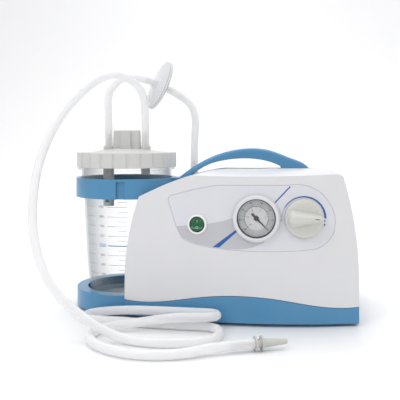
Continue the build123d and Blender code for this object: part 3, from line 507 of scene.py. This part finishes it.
class PUMP_OT_tubes(bpy.types.Operator):
    """Lay the three silicone tubes along their routes"""

    bl_idname = "pump.tubes"
    bl_label = "Silicone tubes"

    def execute(self, context):
        diameter = context.scene.pump_sizes.tube_diameter
        for name, facts in TUBES.items():
            curve = bpy.data.curves.new(name, "CURVE")
            curve.dimensions = "3D"
            curve.resolution_u = 16
            spline = curve.splines.new("NURBS")
            spline.points.add(len(facts["route"]) - 1)
            for point, at in zip(spline.points, facts["route"]):
                point.co = (*(Vector(at) * MM), 1)
            spline.order_u = 3
            spline.use_endpoint_u = True
            curve.bevel_depth = diameter / 2
            curve.bevel_resolution = 8
            curve.use_fill_caps = True
            curve.materials.append(bpy.data.materials["silicone_extruded"])
            tube = bpy.data.objects.new(name, curve)
            context.collection.objects.link(tube)
            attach(tube, "lid")
            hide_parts(facts["node"])
        return {"FINISHED"}


# Upper edge of the label's darker field, and its lower edge past the foot of the stripe
SHADE_TOP = [(-33.0, 110.9), (3.5, 114.5), (22.0, 118.3), (34.0, 122.2), (44.0, 126.0)]
LABEL_FOOT = [(-33.2, 110.2), (-25.6, 97.2), (-8.0, 91.2), (10.4, 88.1), (24.0, 86.9), (39.2, 86.4),
              (55.0, 88.8), (66.9, 93.8), (72.0, 98.6)]
STRIPE = (((17.4, 88.0), (38.5, 107.0)), ((9.8, 88.4), (37.0, 108.9)))
THIN_LINE = ((80.7, 139.9), (97.7, 157.8))


def between(line, x):
    """Height of a line of points at a place across the label."""
    for (x0, z0), (x1, z1) in zip(line, line[1:]):
        if x0 <= x <= x1:
            return z0 + (z1 - z0) * (x - x0) / (x1 - x0)
    return line[0][1] if x < line[0][0] else line[-1][1]


def under(at, radius, x):
    """Height of the underside of a round part that the print stops at."""
    reach = radius**2 - (x - at[0]) ** 2
    return at[1] - math.sqrt(reach) if reach > 0 else math.inf


class PUMP_OT_label_print(bpy.types.Operator):
    """Print the darker field, the stripes and the knob's crescent on the front label"""

    bl_idname = "pump.label_print"
    bl_label = "Label print"

    def execute(self, context):
        lower, upper = [], []
        steps = 120
        right_end = 70.6
        for step in range(steps + 1):
            x = SHADE_TOP[0][0] + (right_end - SHADE_TOP[0][0]) * step / steps
            low = between(LABEL_FOOT, x)
            top = min(between(SHADE_TOP, x), under(SWITCH_AT, 10.8, x), under(GAUGE_AT, 25.6, x))
            lower.append((x, low))
            upper.append((x, max(top, low + 0.05)))
        print_marks(context, "label_field_print", [band(lower, upper)],
                    lambda x, z: front_point(x, z, FIELD_RISE), "machine",
                    "screen_ink_shade")

        lines = []
        for (x0, z0), (x1, z1) in STRIPE:
            lines.append([(x0 + (x1 - x0) * t / 12, z0 + (z1 - z0) * t / 12) for t in range(13)])
        knob_x, knob_z = KNOB_AT
        blue = [
            band(*lines),
            bar(*THIN_LINE, 1.4),
            arc(KNOB_AT, 24.3, 25.2, 150, 0, end_inner=22.9),
            bar((knob_x + 21.6, knob_z - 3.0), (knob_x + 24.2, knob_z - 3.0), 1.6),
            bar((knob_x + 21.4, knob_z - 7.2), (knob_x + 24.4, knob_z - 7.2), 0.7),
            bar((knob_x + 22.9, knob_z - 8.7), (knob_x + 22.9, knob_z - 5.7), 0.7),
        ]
        print_marks(context, "label_blue_print", blue,
                    lambda x, z: front_point(x, z, LINE_RISE), "machine", "screen_ink_blue")
        violet = [
            arc(KNOB_AT, 24.4, 25.0, 186, 150, steps=16),
            bar((knob_x - 27.6, knob_z - 2.0), (knob_x - 25.0, knob_z - 2.0), 0.8),
        ]
        print_marks(context, "label_violet_print", violet,
                    lambda x, z: front_point(x, z, LINE_RISE), "machine",
                    "screen_ink_violet")
        return {"FINISHED"}


class PUMP_OT_gauge_scale(bpy.types.Operator):
    """Print the scale on the vacuum gauge's dial, with a painted grey shade ring and a painted black shadow
    ring round its edge
    """

    bl_idname = "pump.gauge_scale"
    bl_label = "Gauge scale"

    def execute(self, context):
        dial = FacePlane(GAUGE_AT, GAUGE_FACE_RISE)
        start, sweep = GAUGE_START, GAUGE_SWEEP
        # Painted shade: the grey ring stands in for the shade the deep bezel casts on the outer dial
        print_marks(context, "gauge_painted_shade_ring", [arc((0, 0), 13.5, 20.8, 0, 360, steps=72)],
                    lambda u, v: dial.point(u, v, DIAL_SHADE_RING_W), "machine", "dial_ring_printed")
        shapes = [
            arc((0, 0), 13.3, 13.6, start, start + sweep, steps=90),
            # Painted shadow: a black ring round the dial's edge, for the shade under the bezel's inner wall
            arc((0, 0), 20.8, 22.4, 0, 360, steps=72),
        ]
        for step in range(36):
            angle = math.radians(start + sweep * step / 35)
            long_mark = step % 5 == 0
            reach = 15.6 if long_mark else 14.6
            direction = (math.cos(angle), math.sin(angle))
            shapes.append(bar([13.5 * part for part in direction], [reach * part for part in direction],
                              0.42 if long_mark else 0.24, steps=1))
            if long_mark:
                shapes.append(number(str(step * 2), 3.1, 18.1 * direction[0], 18.1 * direction[1]))
        for step in range(11):
            angle = math.radians(start + sweep * step / 10)
            direction = (math.cos(angle), math.sin(angle))
            shapes.append(bar([12.2 * part for part in direction], [13.4 * part for part in direction],
                              0.34, steps=1))
            if step % 2 == 0:
                shapes.append(number(f"{step / 10:.1f}".lstrip("0") or "0", 2.5,
                                     9.9 * direction[0], 9.9 * direction[1]))
        print_marks(context, "gauge_scale_and_painted_shadow_print", shapes, lambda u, v: dial.point(u, v, DIAL_SCALE_W),
                    "machine", "screen_ink_black")
        return {"FINISHED"}


def solid(context, name, points, faces, body, slot, finish, smooth=False):
    """A closed mesh from points in mm, riding on a body."""
    mesh = bpy.data.meshes.new(name)
    mesh.from_pydata([point * MM for point in points], [], faces)
    mesh.validate()
    mesh.materials.append(bpy.data.materials[finish])
    if smooth:
        mesh.shade_smooth()
    piece = bpy.data.objects.new(name, mesh)
    context.collection.objects.link(piece)
    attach(piece, body)
    return piece


def stacked(rings):
    """Points and faces of a closed skin through rings of the same number of points."""
    count = len(rings[0])
    points = [point for ring in rings for point in ring]
    faces = []
    for low in range(0, (len(rings) - 1) * count, count):
        for at in range(count):
            after = (at + 1) % count
            faces.append((low + at, low + after, low + count + after, low + count + at))
    faces.append(tuple(reversed(range(count))))
    faces.append(tuple(range((len(rings) - 1) * count, len(rings) * count)))
    return points, faces


class PUMP_OT_gauge_pointer(bpy.types.Operator):
    """Make the gauge's pointer, with its hub, tail and long tip"""

    bl_idname = "pump.gauge_pointer"
    bl_label = "Gauge pointer"

    def execute(self, context):
        dial = FacePlane(GAUGE_AT, GAUGE_FACE_RISE)
        turn = math.radians(GAUGE_REST)
        hub_r = 2.9
        outline = [(18.6, 0.0), (14.0, 0.42), (3.0, 1.0)]
        outline += [(hub_r * math.cos(math.radians(a)), hub_r * math.sin(math.radians(a)))
                    for a in range(24, 157, 12)]
        outline += [(-6.8, 1.5), (-7.6, 0.0)]
        outline += [(u, -v) for u, v in reversed(outline[1:-1])]
        rings = [
            [dial.point(u * math.cos(turn) - v * math.sin(turn), u * math.sin(turn) + v * math.cos(turn), w)
             for u, v in outline]
            for w in POINTER_W
        ]
        pointer = solid(context, "gauge_pointer", *stacked(rings), "needle", "needle_black",
                        "screen_ink_black")
        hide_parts("gauge_needle")
        return {"FINISHED"}


class PUMP_OT_knob_cap(bpy.types.Operator):
    """Make the suction knob: a round skirt with a soft ridge to grip"""

    bl_idname = "pump.knob_cap"
    bl_label = "Suction knob"

    def execute(self, context):
        knob = FacePlane(KNOB_AT, KNOB_RISE)
        sides = 72
        skirt = [(21.6, 0.0), (22.2, 0.5), (22.2, 3.4), (21.4, 4.8), (19.6, 5.6), (17.5, 6.0)]
        rings = [
            [knob.point(r * math.cos(2 * math.pi * i / sides), r * math.sin(2 * math.pi * i / sides), w)
             for i in range(sides)]
            for r, w in skirt
        ]
        points, faces = stacked(rings)
        # Ridge: wide and blunt at its left end, narrow at the pointer end, domed across
        rows, columns = 33, 40
        left, right = -19.8, 20.6
        blunt_half, fine_half = 10.4, 3.6
        foot, shoulder, height = 3.0, 5.4, 13.4
        first = len(points)
        for row in range(rows):
            t = row / (rows - 1)
            u = left + (right - left) * t
            half = blunt_half + (fine_half - blunt_half) * t
            ends = min(1.0, t * 5.5, (1 - t) * 9.0)
            fullness = math.sqrt(1 - (1 - ends) ** 2)
            half *= 0.35 + 0.65 * fullness
            top = shoulder + height * (0.45 + 0.55 * fullness)
            for column in range(columns + 1):
                side = -1 + 2 * column / columns
                rise = (1 - abs(side) ** 2.6) ** 0.6
                lean = 1 + 0.16 * (1 - rise)
                points.append(knob.point(u, half * side * lean, foot + (top - foot) * rise))
        span = columns + 1
        for row in range(rows - 1):
            for column in range(columns):
                at = first + row * span + column
                faces.append((at, at + span, at + span + 1, at + 1))
            low = first + row * span
            faces.append((low, low + columns, low + span + columns, low + span))
        # Flat ends of the ridge, each facing away from it
        for row, order in ((0, 1), (rows - 1, -1)):
            low = first + row * span
            faces.append(tuple(range(low, low + span))[::order])
        cap = solid(context, "knob_cap", points, faces, "knob", "knob_grey", "grey_abs_moulded", smooth=True)
        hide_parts("suction_knob")
        return {"FINISHED"}


class PUMP_OT_control_marks(bpy.types.Operator):
    """Mark the rocker with a bar and a ring, and the knob with its pointer line"""

    bl_idname = "pump.control_marks"
    bl_label = "Switch and knob marks"

    def execute(self, context):
        rocker = FacePlane(SWITCH_AT, 0.2).tipped(1.5, 6.0)
        dish_r, dish_centre = 15.6, 18.0

        def on_rocker(u, v):
            height = dish_centre - math.sqrt(dish_r**2 - v**2)
            return rocker.point(u, v, height + INK_LIFT)

        marks = [
            bar((0, 1.2), (0, 4.6), 0.55),
            arc((0, -4.0), 1.0, 1.5, 0, 360, steps=32),
        ]
        print_marks(context, "rocker_marks", marks, on_rocker, "rocker",
                    "rocker_mark_pad_printed")
        knob = FacePlane(KNOB_AT, KNOB_RISE)
        print_marks(context, "knob_pointer_mark", [bar((9.0, 0.4), (14.0, 0.0), 0.7)],
                    lambda u, v: knob.point(u, v, 18.86), "knob", "screen_ink_black")
        return {"FINISHED"}


def jar_radius(z):
    """Outside radius of the jar's tapering wall at a height, in mm."""
    if z > 58:
        return 50.5 + (z - 58) * 4.4 / 90
    return 46.5 + (z - 20) * 4.0 / 38


def on_jar(angle, z):
    """A point on the jar's wall: angle in degrees round it from the front."""
    turn = math.radians(angle)
    radius = jar_radius(z) + INK_LIFT
    return Vector((JAR_X + radius * math.sin(turn), JAR_Y - radius * math.cos(turn), z))


class PUMP_OT_jar_scale(bpy.types.Operator):
    """Print the millilitre scale on the jar"""

    bl_idname = "pump.jar_scale"
    bl_label = "Jar scale"

    def execute(self, context):
        step = context.scene.pump_sizes.scale_step / MM
        plain, bold = [], []
        for mark in range(2, 20):
            volume = mark * 50
            z = HALF_LITRE_Z + (volume - 500) / 100 * step
            whole = volume % 100 == 0
            if volume < 150 or z > SCALE_TOP_Z:
                continue
            chosen = bold if volume == 500 else plain
            weight = 1.1 if volume == 500 else 0.42
            chosen.append(bar((-11.7 if whole else 2.6, z), (14.8, z), weight, steps=16))
            if whole:
                plain.append(bar((-52.0, z), (-31.0, z), 0.3, steps=12))
                size = 6.4 if volume == 500 else 4.2
                label = number(str(volume), size, 0, 0)
                degrees_per_mm = math.degrees(1 / jar_radius(z))
                chosen.append(([(-20.5 + u * degrees_per_mm, z + v) for u, v in label[0]], label[1]))
        print_marks(context, "jar_scale_print", plain, on_jar, "jar", "scale_ink_grey")
        print_marks(context, "jar_half_litre_print", bold, on_jar, "jar", "scale_ink_blue")
        return {"FINISHED"}


class PUMP_OT_stage(bpy.types.Operator):
    """Set the camera, the soft lights and the pale floor"""

    bl_idname = "pump.stage"
    bl_label = "Stage"

    def execute(self, context):
        scene = context.scene
        scene.view_settings.view_transform = "Standard"
        lens = bpy.data.cameras.new("camera")
        lens.lens = CAMERA_LENS
        lens.shift_y = CAMERA_SHIFT
        camera = bpy.data.objects.new("camera", lens)
        camera.location = CAMERA_AT
        camera.rotation_euler = (math.radians(90), 0, math.radians(CAMERA_TURN))
        scene.collection.objects.link(camera)
        scene.camera = camera

        # Floor that curves up into a wall behind
        outline = [(-3.0, 0.0), (SWEEP_FOOT_Y, 0.0)]
        for degrees in range(10, 91, 10):
            turn = math.radians(degrees)
            outline.append((SWEEP_FOOT_Y + SWEEP_R * math.sin(turn), SWEEP_R - SWEEP_R * math.cos(turn)))
        outline.append((SWEEP_FOOT_Y + SWEEP_R, 3.5))
        points = [(side, y, z) for side in (-4, 4) for y, z in outline]
        count = len(outline)
        faces = [(i, i + 1, count + i + 1, count + i) for i in range(count - 1)]
        mesh = bpy.data.meshes.new("floor")
        mesh.from_pydata(points, [], faces)
        for face in mesh.polygons:
            face.use_smooth = True
        # Matt white paper sweep: a faint, blurred likeness of what stands on it
        mesh.materials.append(surface("white_paper_sweep", linear("F7F7F8"), 0.42, 4.0, 0.02,
                                      mottle=0.01, dust=0.01))
        floor = bpy.data.objects.new("floor", mesh)
        scene.collection.objects.link(floor)

        world = bpy.data.worlds.new("soft_room")
        world.use_nodes = True
        room = world.node_tree
        shell = room.nodes["Background"]
        shell.inputs["Color"].default_value = (1, 1, 1, 1)
        # Brightest behind the machine, then overhead; dimmer in front and to the sides
        toward = add_node(room, "ShaderNodeSeparateXYZ", {
            "Vector": add_node(room, "ShaderNodeTexCoord").outputs["Generated"],
        })
        wall = add_node(room, "ShaderNodeMapRange", {
            "Value": toward.outputs["Y"], "From Min": 0.3, "From Max": 0.8, "To Min": 0.68, "To Max": 1.15,
        })
        ceiling = add_node(room, "ShaderNodeMapRange", {
            "Value": toward.outputs["Z"], "From Min": 0.2, "From Max": 0.8, "To Min": 0.68, "To Max": 0.95,
        })
        brighter = add_node(room, "ShaderNodeMath", {0: wall.outputs[0], 1: ceiling.outputs[0]},
                            operation="MAXIMUM")
        strength = add_node(room, "ShaderNodeMath",
                            {0: brighter.outputs[0], 1: scene.pump_sizes.soft_light}, operation="MULTIPLY")
        room.links.new(strength.outputs[0], shell.inputs["Strength"])
        scene.world = world

        softboxes = [
            ("key_softbox", (-0.9, -1.2, 1.4), 0.8, 6.0),
            ("fill_softbox", (1.5, -1.0, 0.9), 0.8, 1.5),
            ("top_softbox", (0.1, 0.5, 2.0), 1.4, 8.0),
            ("back_softbox", (-0.4, 1.1, 1.9), 1.2, 10.0),
        ]
        for name, at, size, power in softboxes:
            box = bpy.data.lights.new(name, "AREA")
            box.size = size
            box.energy = power
            lamp = bpy.data.objects.new(name, box)
            lamp.location = at
            aim = Vector(LIGHTS_AIM) - Vector(at)
            lamp.rotation_euler = aim.to_track_quat("-Z", "Y").to_euler()
            scene.collection.objects.link(lamp)
        return {"FINISHED"}


OPERATORS = (
    PUMP_OT_stage,
    PUMP_OT_finishes,
    PUMP_OT_tubes,
    PUMP_OT_label_print,
    PUMP_OT_gauge_scale,
    PUMP_OT_gauge_pointer,
    PUMP_OT_knob_cap,
    PUMP_OT_control_marks,
    PUMP_OT_jar_scale,
)


class PUMP_PT_sidebar(bpy.types.Panel):
    bl_idname = "PUMP_PT_sidebar"
    bl_label = "Suction Pump"
    bl_space_type = "VIEW_3D"
    bl_region_type = "UI"
    bl_category = "Suction Pump"

    def draw(self, context):
        layout = self.layout
        for group in (context.scene.pump_sizes, context.scene.pump_colours):
            for name in group.__annotations__:
                layout.prop(group, name)
        for operator in OPERATORS:
            layout.operator(operator.bl_idname)


CLASSES = (PumpSizes, PumpColours, *OPERATORS, PUMP_PT_sidebar)


def register():
    for cls in CLASSES:
        bpy.utils.register_class(cls)
    bpy.types.Scene.pump_sizes = PointerProperty(type=PumpSizes)
    bpy.types.Scene.pump_colours = PointerProperty(type=PumpColours)


def unregister():
    del bpy.types.Scene.pump_colours
    del bpy.types.Scene.pump_sizes
    for cls in reversed(CLASSES):
        bpy.utils.unregister_class(cls)


def main():
    register()
    bpy.ops.pump.stage()
    bpy.ops.pump.finishes()
    bpy.ops.pump.tubes()
    bpy.ops.pump.label_print()
    bpy.ops.pump.gauge_scale()
    bpy.ops.pump.gauge_pointer()
    bpy.ops.pump.knob_cap()
    bpy.ops.pump.control_marks()
    bpy.ops.pump.jar_scale()


if __name__ == "__main__":
    main()
